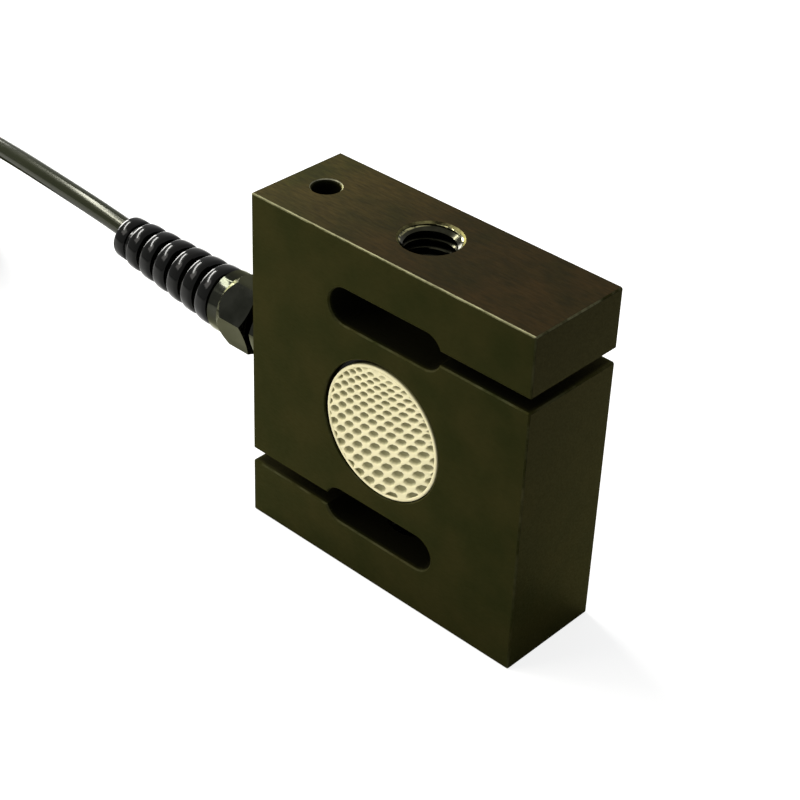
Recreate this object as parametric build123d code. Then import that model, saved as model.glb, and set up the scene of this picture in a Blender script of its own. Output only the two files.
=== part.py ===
from build123d import *
import math
import os

# An S-beam load cell, in millimetres. Z is up and is the load axis, X runs across the wide face, the cable
# leaves at -X, and the face with the cover that is seen first looks to -Y. The block stands on z = 0.

# Spring element: one block of steel, milled and sawn into an S
body_width = 70.0
body_depth = 24.0
body_height = 75.0
edge_break = 0.3
slot_length = 28.2
slot_height = 7.8
slot_offset = 23.2
saw_width = 2.9
pocket_diameter = 29.6
web_thickness = 3.2
mouth_break = 0.2

# Holes in the spring element
thread_diameter = 12.0
thread_countersink = 0.4
side_hole_diameter = 5.8
side_hole_depth = 12.0
side_hole_inset = 8.1
side_hole_countersink = 0.35
port_diameter = 10.0
port_depth = 8.5
wire_way_diameter = 7.0
wire_way_overrun = 1.2
link_hole_diameter = 2.6
link_hole_across = 8.0
link_hole_up = 8.5

# Covers: pressed discs with slanting rows of pits that grow towards the lower right
cover_gap = 0.5
cover_recess = 0.55
cover_thickness = 1.5
cover_drop = 0.4
cover_rim = 0.8
cover_edge_break = 0.25
pit_depth = 0.55
pit_share = 0.66
pit_floor_share = 0.3
first_pit = (-1.6, -0.62)
along_row = (2.40, -0.43)
up_column = (2.00, 2.21)
row_growth = (0.157, 0.121)
cross_growth = (0.010, 0.094)
column_growth = (-0.074, -0.084)

# Gauges, board and resistors on the web
gauge_length = 9.0
gauge_height = 6.4
gauge_thickness = 0.2
grid_side = 3.0
grid_rise = 0.1
tab_length = 0.9
tab_pitch = 1.8
board_width = 5.4
board_height = 11.0
board_thickness = 0.8
board_left = 11.0
pad_length = 1.5
pad_width = 1.3
pad_rise = 0.12
link_pad_up = 4.7
link_pad_width = 0.6
link_pitch = 0.9
resistor_diameter = 1.7
resistor_length = 4.2
resistor_across = 1.0
resistor_up = 7.4
gauge_wire = 0.32
wire_arch = 0.6
hollow_diameter = 26.4
front_hollow_depth = 2.3
rear_hollow_depth = 0.9
notch_width = 6.4

# Cable and its four cores
cable_diameter = 4.4
jacket_end_depth = 6.0
core_diameter = 0.8
core_lay = 0.75
core_row_pitch = 1.0
core_row_clear = 0.5
core_pad_pitch = 2.3
core_bend = 1.2

# Cable gland on the left face: distances run outwards from that face
gland_across_flats = 14.0
gland_turn = 41.0
washer_diameter = 13.2
washer_thickness = 1.0
stub_length = 7.5
flange_length = 5.0
neck_length = 7.0
neck_diameter = 12.0
gland_bore = 6.0
seal_diameter = 9.2
seal_length = 4.5
seal_seat = 1.0
claw_diameter = 11.2
claw_flange = 1.6
claw_bore = 4.7
claw_slots = 6
claw_slot_width = 0.8
nut_start = 8.0
nut_hex_length = 8.4
nut_cone_length = 2.2
nut_seat_depth = 8.2
nose_diameter = 13.7
nose_length = 3.1
nose_bore = 10.0
thread_slack = 0.05
nut_thread_slack = 0.06

# Bend relief: a ribbed rubber sleeve, caught in the nut by its root flange
relief_root_diameter = 11.6
relief_root_bore = 6.4
relief_bore = 7.2
relief_tilt = 3.5
relief_pivot = 1.5
rib_count = 6
rib_start = 0.8
rib_pitch = 4.68
groove_width = 1.0
rib_depth = 1.15
rib_bevel = 0.75
first_rib_diameter = 13.3
last_rib_diameter = 10.6
end_collar_length = 3.5
end_collar_diameter = 9.5
end_collar_bevel = 0.8

# Cable route: out through the gland, out of the relief, then over the near fold and down to the waist
entry_bend_at = (-58.0, 0.0, 37.5)
relief_mouth_at = (-86.9, 0.0, 40.75)
cable_route = [
    (-95.0, 0.0, 41.66),
    (-109.0, 0.1, 42.6),
    (-129.0, 0.6, 43.4),
    (-151.0, 2.0, 42.5),
    (-170.0, 3.6, 40.0),
    (-187.0, 5.2, 35.6),
    (-201.3, 6.3, 30.1),
]

# Hank: the rest of the cable folded in line with the block and tied at its waist
hank_near = -173.0
hank_run = 66.0
fold_diameter = 26.4
hank_columns = 2
hank_levels = 7
level_pitch = 4.7
hank_break = 1.3
eye_end = 7.0
eye_end_radius = 0.9
tie_groove = 0.95
tie_width = 7.0
tie_thickness = 0.85
tie_play = 0.2
tail_route = [
    (-210.8, 3.2, 29.9),
    (-218.0, 5.0, 32.3),
    (-226.5, 8.0, 34.85),
    (-236.0, 12.0, 35.5),
]

# Stripped end of the cable
sleeve_wall = 0.35
sleeve_on_jacket = 5.0
sleeve_past_jacket = 6.0
lead_diameter = 1.0
lead_lay = 0.8
lead_reach = 25.0
lead_bend = 6.0
drain_diameter = 0.9

# Worked out from the sizes above
left_face = -body_width / 2
middle = body_height / 2
web_face = web_thickness / 2
cover_radius = pocket_diameter / 2 - cover_gap
cover_back = body_depth / 2 - cover_recess - cover_thickness
cable_radius = cable_diameter / 2
core_radius = core_diameter / 2
flange_end = washer_thickness + flange_length
neck_end = flange_end + neck_length
seal_start = flange_end + seal_seat
seal_end = seal_start + seal_length
claw_end = neck_end + claw_flange
nut_seat = nut_start + nut_seat_depth
nut_hex_end = nut_start + nut_hex_length
nose_end = nut_hex_end + nose_length
hank_far = hank_near - hank_run
waist = hank_near - hank_run / 2
hank_height = cable_diameter + (hank_levels - 1) * level_pitch
fold_outer = fold_diameter / 2 + (hank_columns - 0.5) * cable_diameter
fold_inner = fold_diameter / 2 - cable_radius
waist_half = hank_columns * cable_diameter


def turned(*points):
    """Solid of revolution about Z through (radius, height) points."""
    return revolve(Plane.XZ * make_face(Polyline(*points, close=True)), Axis.Z)


def on_gland(solid):
    """Moves a solid made about Z on to the gland's axis, with its z = 0 on the left face, pointing out."""
    return Pos(left_face, 0, middle) * Rot(0, -90, 0) * solid


def on_web(solid, side):
    """Moves a solid made on z = 0 on to the web's front (-1) or rear (1) face, pointing out."""
    return Pos(0, 0, middle) * Rot(0, 0, 90 + 90 * side) * Rot(90, 0, 0) * Pos(0, 0, web_face) * solid


def on_path(path, diameter):
    """Round bar along a path."""
    return sweep(Plane(origin=path @ 0, z_dir=path % 0) * Circle(diameter / 2), path=path)


def cord(name, points):
    """Cable along straight runs with the widest tangent arcs; prints its radii and compares its volume."""
    radii = []
    for before, here, after in zip(points, points[1:], points[2:]):
        first = Vector(here) - Vector(before)
        second = Vector(after) - Vector(here)
        half_turn = math.radians(first.get_angle(second)) / 2
        radii.append(0.45 * min(first.length, second.length) / math.tan(half_turn))
    path = FilletPolyline(*points, radius=radii)
    made = on_path(path, cable_diameter)
    expected = math.pi * cable_radius ** 2 * path.length
    shown = [round(radius, 1) for radius in radii]
    print(f"{name}: length {path.length:.1f}, radii {shown}, volume {made.volume:.2f} of {expected:.2f}")
    return made


def wire(points, diameter, bend):
    """Lead through the points, with the same bend at each corner."""
    return on_path(FilletPolyline(*points, radius=bend), diameter)


def fine_wire(points, diameter):
    """Thin wire folded sharply at each point."""
    path = Polyline(*points)
    section = Plane(origin=path @ 0, z_dir=path % 0) * Circle(diameter / 2)
    return sweep(section, path=path, transition=Transition.RIGHT)


def drill(diameter, depth, countersink):
    """Drilled and countersunk hole, pointing down from a mouth at z = 0."""
    radius = diameter / 2
    return turned((0, -depth), (radius, -depth), (radius, -countersink),
                  (radius + 2 * countersink, countersink), (0, countersink))


def spring_element():
    """The block with its two slots, sawn out to opposite sides, its pockets and its holes."""
    outline = Rectangle(body_width, body_height)
    for side in (1, -1):
        outline -= Pos(0, side * slot_offset) * SlotOverall(slot_length, slot_height)
        outline -= Pos(side * body_width / 2, side * slot_offset) * Rectangle(body_width, saw_width)
    outer = [v for v in outline.vertices() if abs(abs(v.X) - body_width / 2) < 0.01]
    outline = chamfer(outer, edge_break)
    block = Pos(0, 0, middle) * extrude(Plane.XZ * outline, body_depth / 2, both=True)
    faces = block.faces().sort_by(Axis.Y)
    block = chamfer(faces[0].edges() + faces[-1].edges(), edge_break)
    mouth = pocket_diameter / 2
    top = body_depth / 2
    pocket = turned((0, web_face), (mouth, web_face), (mouth, top - mouth_break),
                    (mouth + 2 * mouth_break, top + mouth_break), (0, top + mouth_break))
    thread_depth = middle - slot_offset - slot_height / 4
    for side in (1, -1):
        block -= Pos(0, 0, middle) * Rot(-90 * side, 0, 0) * pocket
        thread = drill(thread_diameter, thread_depth, thread_countersink)
        block -= Pos(0, 0, middle + side * middle) * Rot(90 - 90 * side, 0, 0) * thread
    side_hole = drill(side_hole_diameter, side_hole_depth, side_hole_countersink)
    block -= Pos(left_face + side_hole_inset, 0, body_height) * side_hole
    block -= on_gland(Pos(0, 0, -port_depth / 2) * Cylinder(port_diameter / 2, port_depth))
    way_length = body_width / 2 - pocket_diameter / 2 + wire_way_overrun
    block -= on_gland(Pos(0, 0, -way_length / 2) * Cylinder(wire_way_diameter / 2, way_length))
    link_hole = Rot(90, 0, 0) * Cylinder(link_hole_diameter / 2, 2 * web_thickness)
    return block - Pos(-link_hole_across, 0, middle + link_hole_up) * link_hole


def pit_place(row, column):
    """Centre of one pit on the disc: a slanting grid whose steps grow slowly."""
    return tuple(
        first_pit[k] + row * along_row[k] + column * up_column[k]
        + row * row * row_growth[k] / 2 + row * column * cross_growth[k]
        + column * column * column_growth[k] / 2
        for k in (0, 1))


def pit_corners(row, column, share):
    """Four corners of a pit, drawn in from the corners of its cell."""
    x, y = pit_place(row, column)
    corners = []
    for across, up in ((-0.5, -0.5), (0.5, -0.5), (0.5, 0.5), (-0.5, 0.5)):
        cell_x, cell_y = pit_place(row + across, column + up)
        corners.append((x + share * (cell_x - x), y + share * (cell_y - y)))
    return corners


def pit(row, column):
    """Sunk pyramid with its tip cut off, opening at the disc's face: four flat walls and a flat floor."""
    rims = []
    for share, height in ((pit_share, cover_thickness), (pit_share * pit_floor_share, cover_thickness - pit_depth)):
        rims.append([(x, y, height) for x, y in pit_corners(row, column, share)])
    mouth, floor = rims
    outlines = [mouth, floor]
    outlines += [[mouth[k - 1], mouth[k], floor[k], floor[k - 1]] for k in range(4)]
    return Solid(Shell([make_face(Polyline(*outline, close=True)) for outline in outlines]))


def cover():
    """Disc with its back on z = 0 and its pitted face at z = cover_thickness."""
    disc = extrude(Circle(cover_radius), cover_thickness)
    disc = chamfer(disc.edges().sort_by(Axis.Z)[-1], cover_edge_break)
    reach = cover_radius - cover_rim
    field = Cylinder(reach, 4 * cover_thickness)
    pits = []
    for row in range(-7, 8):
        for column in range(-8, 9):
            far = [math.hypot(x, y) for x, y in pit_corners(row, column, pit_share)]
            if max(far) < reach:
                pits.append(pit(row, column))
            elif sum(far) / 4 < reach - 0.2:
                pits.append(pit(row, column) & field)
    return disc - pits


def placed_cover(side):
    """Cover on its bed of potting, a little low in its pocket."""
    return on_web(Pos(0, -cover_drop, cover_back - web_face) * cover(), side)


def shear_gauge():
    """Foil rosette on its backing, with its back on z = 0 and its tabs to the left."""
    gauge = extrude(Rectangle(gauge_length, gauge_height), gauge_thickness)
    for side in (1, -1):
        grid = Rot(0, 0, 45 * side) * Rectangle(grid_side, grid_side)
        gauge += extrude(Pos(side * gauge_length / 4, 0, gauge_thickness) * grid, grid_rise)
    for step in (-1, 0, 1):
        place = Pos((tab_length - gauge_length) / 2, step * tab_pitch, gauge_thickness)
        gauge += extrude(place * Rectangle(tab_length, tab_length), grid_rise)
    return gauge


def terminal_board():
    """Solder board beside the wire way: core pads left, gauge pads right, rear gauge pads at the top."""
    board = extrude(Rectangle(board_width, board_height), board_thickness)
    pad = Rectangle(pad_length, pad_width)
    edge = (board_width - pad_length) / 2
    for k in range(4):
        board += extrude(Pos(-edge, (k - 1.5) * core_pad_pitch, board_thickness) * pad, pad_rise)
    for step in (-1, 0, 1):
        board += extrude(Pos(edge, step * tab_pitch, board_thickness) * pad, pad_rise)
        link_pad = Rectangle(link_pad_width, pad_width)
        across = board_left - board_width / 2 - link_hole_across + step * link_pitch
        board += extrude(Pos(across, link_pad_up, board_thickness) * link_pad, pad_rise)
    return Pos(board_width / 2 - board_left, 0, 0) * board


def trim_resistor(side):
    """Small round resistor bonded to the web above (1) or below (-1) the gauge."""
    body = chamfer(Cylinder(resistor_diameter / 2, resistor_length).edges(), resistor_diameter / 8)
    return Pos(resistor_across, side * resistor_up, resistor_diameter / 2) * Rot(0, 90, 0) * body


def front_gauge_lead(step):
    """Fine wire that arches from one of the gauge's tabs to the board's pad beside it."""
    low = gauge_thickness + grid_rise + gauge_wire / 2
    high = board_thickness + pad_rise + gauge_wire / 2
    tab_x = (tab_length - gauge_length) / 2
    pad_x = board_width - board_left - pad_length / 2
    y = step * tab_pitch
    arch = fine_wire([(tab_x + gauge_wire, y, low), (tab_x - gauge_wire, y, low),
                      ((tab_x + pad_x) / 2, y, high + wire_arch), (pad_x + gauge_wire, y, high),
                      (pad_x - gauge_wire, y, high)], gauge_wire)
    return on_web(arch, -1)


def rear_gauge_lead(step):
    """Fine wire from a tab of the rear gauge, through the link hole, to the top of the board in front."""
    rear = web_face + gauge_thickness + grid_rise + gauge_wire / 2
    front = -(web_face + board_thickness + pad_rise + gauge_wire / 2)
    tab_x = (tab_length - gauge_length) / 2
    x = -link_hole_across + step * link_pitch
    z = middle + step * tab_pitch
    over = middle + link_hole_up
    pad_z = middle + link_pad_up - pad_width / 4
    points = [(tab_x, rear, z), (x, rear, z), (x, rear, over), (x, front, over), (x, front, pad_z)]
    return fine_wire(points, gauge_wire)


def core(row, y, z):
    """One core from its place in the jacket, along the wire way in front of the web, to its pad."""
    jacket_end = left_face + jacket_end_depth
    pocket_edge = -pocket_diameter / 2
    row_y = -(web_face + core_row_clear + core_radius)
    row_z = middle + row * core_row_pitch
    pad_y = -(web_face + board_thickness + pad_rise + core_radius)
    pad_z = middle + row * core_pad_pitch
    return wire([(jacket_end, y, middle + z), (jacket_end + 1, y, middle + z),
                 (jacket_end + 6, row_y, row_z), (pocket_edge + 0.6, row_y, row_z),
                 (-board_left + pad_length / 10, pad_y, pad_z), (-board_left + pad_length, pad_y, pad_z)],
                core_diameter, core_bend)


def potting(side, hollow_depth):
    """Resin up to the cover's back, with a hollow over what is bonded to the web and a notch for the wires."""
    fill = extrude(Circle(pocket_diameter / 2), cover_back - web_face)
    fill -= extrude(Circle(hollow_diameter / 2), hollow_depth)
    if side < 0:
        notch = Box(pocket_diameter - hollow_diameter, notch_width, 2 * hollow_depth)
        fill -= Pos(-hollow_diameter / 2, 0, 0) * notch
    return on_web(fill, side)


def hexagon_bar(start, end, low_radius, low_bevel, high_radius, high_bevel):
    """Hexagon between two distances, its corners turned down to a cone at each end."""
    corner = gland_across_flats / 2 / math.cos(math.radians(30))
    bar = extrude(RegularPolygon(corner, 6, rotation=gland_turn), end - start)
    cones = turned((0, start), (low_radius, start), (corner + 0.01, start + low_bevel),
                   (corner + 0.01, end - high_bevel), (high_radius, end), (0, end))
    return (Pos(0, 0, start) * bar) & cones


def gland_washer():
    """Flat sealing ring between the flange and the spring element."""
    bore = port_diameter / 2 - thread_slack
    return turned((bore, 0), (washer_diameter / 2, 0), (washer_diameter / 2, washer_thickness),
                  (bore, washer_thickness))


def gland_body():
    """Hexagon flange with the thread that goes into the port and the thread that takes the nut."""
    stub = port_diameter / 2 - thread_slack
    flat = gland_across_flats / 2
    neck = neck_diameter / 2
    solid = hexagon_bar(washer_thickness, flange_end, flat, 0.6, flat, 0.6)
    solid += turned((0, -stub_length), (stub - 0.4, -stub_length), (stub, 0.4 - stub_length),
                    (stub, washer_thickness + 1), (neck, washer_thickness + 1), (neck, neck_end - 0.4),
                    (neck - 0.4, neck_end), (0, neck_end))
    bore = gland_bore / 2
    seat = seal_diameter / 2
    return solid - turned((0, -stub_length - 1), (bore, -stub_length - 1), (bore, seal_start),
                          (seat, seal_start), (seat, neck_end + 1), (0, neck_end + 1))


def gland_seal():
    """Rubber sleeve squeezed on to the jacket."""
    return turned((cable_radius, seal_start), (seal_diameter / 2, seal_start), (seal_diameter / 2, seal_end),
                  (cable_radius, seal_end))


def gland_claw():
    """Slotted clamping ring between the seal and the nut."""
    nose = seal_diameter / 2 - thread_slack
    flange = claw_diameter / 2
    bore = claw_bore / 2
    ring = turned((bore, seal_end), (nose, seal_end), (nose, neck_end), (flange, neck_end),
                  (flange, claw_end), (bore, claw_end))
    for k in range(claw_slots):
        cut = Box(claw_diameter, claw_slot_width, neck_end - seal_end)
        ring -= Rot(0, 0, k * 360 / claw_slots) * Pos(claw_diameter / 2, 0, (seal_end + neck_end) / 2) * cut
    return ring


def gland_nut():
    """Hexagon nut with a coned outer end and a round nose over the relief's neck."""
    nose = nose_diameter / 2
    solid = hexagon_bar(nut_start, nut_hex_end, gland_across_flats / 2, 0.6, nose, nut_cone_length)
    solid += turned((0, nut_hex_end - 1), (nose, nut_hex_end - 1), (nose, nose_end - 0.35),
                    (nose - 0.35, nose_end), (0, nose_end))
    bore = neck_diameter / 2 + nut_thread_slack
    return solid - turned((0, nut_start - 1), (bore + 0.5, nut_start - 1), (bore + 0.5, nut_start),
                          (bore, nut_start + 0.5), (bore, nut_seat), (nose_bore / 2, nut_seat),
                          (nose_bore / 2, nose_end + 1), (0, nose_end + 1))


def tilted(solid):
    """Tips a solid made about the gland's axis up by the relief's slope, about a point past the nose."""
    pivot = nose_end + relief_pivot
    return Pos(0, 0, pivot) * Rot(0, relief_tilt, 0) * Pos(0, 0, -pivot) * solid


def bend_relief():
    """Ribbed rubber sleeve, straight where the nut holds it and rising outside."""
    outline = [(0, nose_end - 1), (first_rib_diameter / 2 - rib_depth, nose_end - 1)]
    for k in range(rib_count):
        top = (first_rib_diameter + (last_rib_diameter - first_rib_diameter) * k / (rib_count - 1)) / 2
        start = nose_end + rib_start + k * rib_pitch
        end = start + rib_pitch - groove_width
        outline += [(top - rib_depth, start), (top, start + rib_bevel)]
        outline += [(top, end - rib_bevel), (top - rib_depth, end)]
    collar = end_collar_diameter / 2
    start = nose_end + rib_start + rib_count * rib_pitch
    end = start + end_collar_length
    outline += [(last_rib_diameter / 2 - rib_depth, start), (collar, start), (collar, end - end_collar_bevel),
                (collar - end_collar_bevel, end), (0, end)]
    outside = tilted(turned(*outline))
    outside -= Pos(0, 0, nose_end / 2) * Cylinder(2 * first_rib_diameter, nose_end)
    neck = nose_bore / 2 - thread_slack
    root = relief_root_diameter / 2
    solid = outside + turned((0, claw_end), (root, claw_end), (root, nut_seat), (neck, nut_seat),
                             (neck, nose_end + relief_pivot), (0, nose_end + relief_pivot))
    solid -= Pos(0, 0, nose_end / 2) * Cylinder(relief_root_bore / 2, nose_end + 2)
    wide = turned((0, nose_end), (relief_root_bore / 2, nose_end), (relief_bore / 2, nose_end + 1.5),
                  (relief_bore / 2, end + 1), (0, end + 1))
    return solid - tilted(wide)


def teardrop(centre, big, tip, small):
    """Outline round a large circle and a small one, both on the X axis."""
    circles = [Pos(centre, 0) * Circle(big), Pos(tip, 0) * Circle(small)]
    return make_hull([edge for circle in circles for edge in circle.edges()])


def cable_hank():
    """Outer shape of the folded cable: two lobes with eyes, a waist between them and a groove for the tie."""
    near = teardrop(hank_near, fold_outer, waist, waist_half)
    far = teardrop(hank_far, fold_outer, waist, waist_half)
    solid = extrude(near + far, hank_height)
    ends = solid.faces().sort_by(Axis.Z)
    solid = chamfer(ends[0].edges() + ends[-1].edges(), hank_break)
    for centre, toward in ((hank_near, 1), (hank_far, -1)):
        eye = teardrop(centre, fold_inner, waist + toward * eye_end, eye_end_radius)
        solid -= Pos(0, 0, -1) * extrude(eye, hank_height + 2)
    return solid - tie_space()


def tie_space():
    """Shallow groove all round the waist."""
    half = tie_width / 2 + tie_play
    block = Box(2 * half, 4 * waist_half, 2 * hank_height)
    middle_bar = Box(4 * half, 2 * (waist_half - tie_groove), hank_height - 2 * tie_groove)
    middle_bar = chamfer(middle_bar.edges().filter_by(Axis.X), hank_break)
    return Pos(waist, 0, hank_height / 2) * (block - middle_bar)


def hank_tie():
    """Flat band round the waist of the hank."""
    inner_y = 2 * (waist_half - tie_groove)
    inner_z = hank_height - 2 * tie_groove
    outer = Box(tie_width, inner_y + 2 * tie_thickness, inner_z + 2 * tie_thickness)
    outer = chamfer(outer.edges().filter_by(Axis.X), hank_break + tie_thickness / 2)
    inner = Box(2 * tie_width, inner_y, inner_z)
    inner = chamfer(inner.edges().filter_by(Axis.X), hank_break)
    return Pos(waist, 0, hank_height / 2) * (outer - inner)


def at_tail_end(solid):
    """Moves a solid made about Z on to the cut end of the jacket, pointing out, with its X level."""
    out = Vector(tail_route[-1]) - Vector(tail_route[-2])
    level = Vector(0, 0, 1).cross(out)
    return Plane(origin=tail_route[-1], x_dir=level, z_dir=out) * solid


def end_sleeve():
    """Shrunk sleeve over the end of the jacket and the start of the leads."""
    tube = turned((cable_radius, -sleeve_on_jacket), (cable_radius + sleeve_wall, -sleeve_on_jacket),
                  (cable_radius + sleeve_wall, sleeve_past_jacket), (cable_radius, sleeve_past_jacket))
    return at_tail_end(tube)


def tail_lead(x, y, swing, drop, diameter):
    """One lead from the cut jacket, straight through the sleeve and then bent out to its end."""
    start = (x, y, 0)
    leaves = (x, y, sleeve_past_jacket + 2)
    end = (x + swing, y + drop, lead_reach)
    return at_tail_end(wire([start, leaves, end], diameter, lead_bend))


spring = spring_element()
gauge = shear_gauge()
board = on_web(terminal_board(), -1)
front_gauge = on_web(gauge, -1)
rear_gauge = on_web(Rot(0, 0, 180) * gauge, 1)
span_resistor = on_web(trim_resistor(1), -1)
zero_resistor = on_web(trim_resistor(-1), -1)
lead_steps = {"low": -1, "middle": 0, "high": 1}
front_leads = {f"front_gauge_lead_{place}": front_gauge_lead(step) for place, step in lead_steps.items()}
rear_leads = {f"rear_gauge_lead_{place}": rear_gauge_lead(step) for place, step in lead_steps.items()}
cores = {
    "lead_red": core(1.5, core_lay, core_lay),
    "lead_green": core(0.5, -core_lay, core_lay),
    "lead_white": core(-0.5, -core_lay, -core_lay),
    "lead_black": core(-1.5, core_lay, -core_lay),
}
hank = cable_hank()
entry_start = (left_face + jacket_end_depth, 0.0, middle)

parts = {
    "spring_element": spring,
    "front_cover": placed_cover(-1),
    "rear_cover": placed_cover(1),
    "front_shear_gauge": front_gauge,
    "rear_shear_gauge": rear_gauge,
    "terminal_board": board,
    "span_resistor": span_resistor,
    "zero_resistor": zero_resistor,
    **front_leads,
    **rear_leads,
    **cores,
    "front_potting": potting(-1, front_hollow_depth),
    "rear_potting": potting(1, rear_hollow_depth),
    "gland_washer": on_gland(gland_washer()),
    "gland_body": on_gland(gland_body()),
    "gland_seal": on_gland(gland_seal()),
    "gland_claw": on_gland(gland_claw()),
    "gland_nut": on_gland(gland_nut()),
    "bend_relief": on_gland(bend_relief()),
    "cable_entry": cord("cable_entry", [entry_start, entry_bend_at, relief_mouth_at]),
    "cable": cord("cable", [relief_mouth_at, *cable_route]) - hank,
    "cable_hank": hank,
    "cable_tail": cord("cable_tail", tail_route) - hank,
    "hank_tie": hank_tie(),
    "end_sleeve": end_sleeve(),
    "tail_red": tail_lead(lead_lay, lead_lay, 8.0, -1.4, lead_diameter),
    "tail_green": tail_lead(-lead_lay, lead_lay, -7.0, -1.2, lead_diameter),
    "tail_white": tail_lead(lead_lay, -lead_lay, 3.4, -0.6, lead_diameter),
    "tail_black": tail_lead(-lead_lay, -lead_lay, -3.0, -0.4, lead_diameter),
    "tail_shield": tail_lead(0.01, 0.01, 0.4, 0.8, drain_diameter),
}

os.makedirs("parts", exist_ok=True)
for name, shape in parts.items():
    export_step(shape, f"parts/{name}.step")
    print(f"{name}: volume {shape.volume:.2f}")
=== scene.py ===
import math
from functools import partial
import bpy
from mathutils import Matrix, Vector


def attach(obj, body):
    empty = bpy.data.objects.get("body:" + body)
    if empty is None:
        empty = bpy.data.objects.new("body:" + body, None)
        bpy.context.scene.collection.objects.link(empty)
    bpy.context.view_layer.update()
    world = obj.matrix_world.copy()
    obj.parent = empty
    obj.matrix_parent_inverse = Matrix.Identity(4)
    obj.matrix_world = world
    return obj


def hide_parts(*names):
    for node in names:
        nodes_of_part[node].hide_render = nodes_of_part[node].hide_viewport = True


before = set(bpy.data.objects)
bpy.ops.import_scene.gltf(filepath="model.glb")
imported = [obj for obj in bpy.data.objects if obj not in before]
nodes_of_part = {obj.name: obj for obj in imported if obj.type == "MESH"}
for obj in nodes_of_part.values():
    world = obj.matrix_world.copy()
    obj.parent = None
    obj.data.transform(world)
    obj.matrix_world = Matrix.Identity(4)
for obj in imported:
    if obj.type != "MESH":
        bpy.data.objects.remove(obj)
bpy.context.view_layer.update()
mm = 0.001
half_width = 35.0
half_depth = 12.0
half_height = 37.5

# Camera and light. The block is seen from its front right and from above through a long lens, a little tilted.
# It stands on a white floor that takes its shadow, under soft daylight, a soft lamp, a strip and a side panel.
block_centre = Vector((0, 0, half_height * mm))
azimuth = math.radians(41.86)
elevation = math.radians(34.53)
roll = math.radians(2.36)
backwards = Vector((math.sin(azimuth) * math.cos(elevation), -math.cos(azimuth) * math.cos(elevation),
                    math.sin(elevation)))
level = Vector((math.cos(azimuth), math.sin(azimuth), 0))
upright = backwards.cross(level)
to_right = math.cos(roll) * level + math.sin(roll) * upright
to_top = math.cos(roll) * upright - math.sin(roll) * level
lens = bpy.data.cameras.new("camera")
lens.sensor_width = 36
lens.lens = 87.25
lens.clip_start = 0.01
camera = bpy.data.objects.new("camera", lens)
bpy.context.scene.collection.objects.link(camera)
stand = block_centre + backwards * 373.8 * mm - to_right * 4.37 * mm + to_top * 1.41 * mm
camera.matrix_world = Matrix.Translation(stand) @ Matrix((to_right, to_top, backwards)).transposed().to_4x4()
bpy.context.scene.camera = camera
bpy.context.scene.view_settings.view_transform = "Standard"


def add_math(tree, operation, first, second=None, third=None):
    """Math node in a tree; each value is a number or another node's output. Returns its output."""
    node = tree.nodes.new("ShaderNodeMath")
    node.operation = operation
    for socket, value in zip(node.inputs, (first, second, third)):
        if value is None:
            continue
        if isinstance(value, (int, float)):
            socket.default_value = value
        else:
            tree.links.new(value, socket)
    return node.outputs[0]


def add_ramp(tree, value, low, high):
    """Mask that rises from 0 to 1 as a value goes from low to high."""
    node = tree.nodes.new("ShaderNodeMapRange")
    node.inputs["From Min"].default_value = low
    node.inputs["From Max"].default_value = high
    tree.links.new(value, node.inputs["Value"])
    return node.outputs["Result"]


def add_mix(tree, mask, first, second, blend="MIX"):
    """Colour mixed by a mask; each colour is a tuple or another node's output."""
    node = tree.nodes.new("ShaderNodeMix")
    node.data_type = "RGBA"
    node.blend_type = blend
    for socket, value in ((node.inputs[0], mask), (node.inputs[6], first), (node.inputs[7], second)):
        if isinstance(value, (int, float, tuple)):
            socket.default_value = value
        else:
            tree.links.new(value, socket)
    return node.outputs[2]


world = bpy.data.worlds.new("daylight")
world.use_nodes = True
bpy.context.scene.world = world
sky = world.node_tree
daylight = sky.nodes["Background"]
daylight.inputs["Color"].default_value = (0.95, 0.98, 1.0, 1)
daylight.inputs["Strength"].default_value = 0.34
white_sky = sky.nodes.new("ShaderNodeBackground")
white_sky.inputs["Strength"].default_value = 1.0
sky_rays = sky.nodes.new("ShaderNodeLightPath")
seen_or_mirrored = add_math(sky, "MAXIMUM", sky_rays.outputs["Is Camera Ray"], sky_rays.outputs["Is Glossy Ray"])
seen_or_through = add_math(sky, "MAXIMUM", seen_or_mirrored, sky_rays.outputs["Is Transmission Ray"])
sky_choice = sky.nodes.new("ShaderNodeMixShader")
sky.links.new(seen_or_through, sky_choice.inputs["Fac"])
sky.links.new(daylight.outputs["Background"], sky_choice.inputs[1])
sky.links.new(white_sky.outputs["Background"], sky_choice.inputs[2])
sky.links.new(sky_choice.outputs["Shader"], sky.nodes["World Output"].inputs["Surface"])


def add_lamp(name, place, aim, length, width, watts, tint):
    """Rectangular lamp at a place, turned to shine at a point; places and sizes in millimetres."""
    light = bpy.data.lights.new(name, "AREA")
    light.shape = "RECTANGLE"
    light.size = length * mm
    light.size_y = width * mm
    light.energy = watts
    light.color = tint
    lamp = bpy.data.objects.new(name, light)
    bpy.context.scene.collection.objects.link(lamp)
    start = Vector(place) * mm
    turn = (start - Vector(aim) * mm).to_track_quat("Z", "Y")
    lamp.matrix_world = Matrix.Translation(start) @ turn.to_matrix().to_4x4()
    return lamp


add_lamp("key_lamp", (-330, -430, 560), (0, 0, 40), 320, 320, 1.6, (1.0, 0.97, 0.9))
add_lamp("long_strip", (-490, -75, 590), (-20, 0, 45), 560, 48, 5.2, (1.0, 0.99, 0.95))
add_lamp("side_panel", (-600, 110, 190), (-80, 0, 42), 280, 280, 5.0, (1.0, 0.99, 0.95))


def nothing_selected():
    """Object mode with nothing selected, before each new primitive."""
    if bpy.context.object and bpy.context.object.mode != "OBJECT":
        bpy.ops.object.mode_set(mode="OBJECT")
    for item in bpy.context.selected_objects:
        item.select_set(False)
    bpy.context.view_layer.objects.active = None


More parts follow.
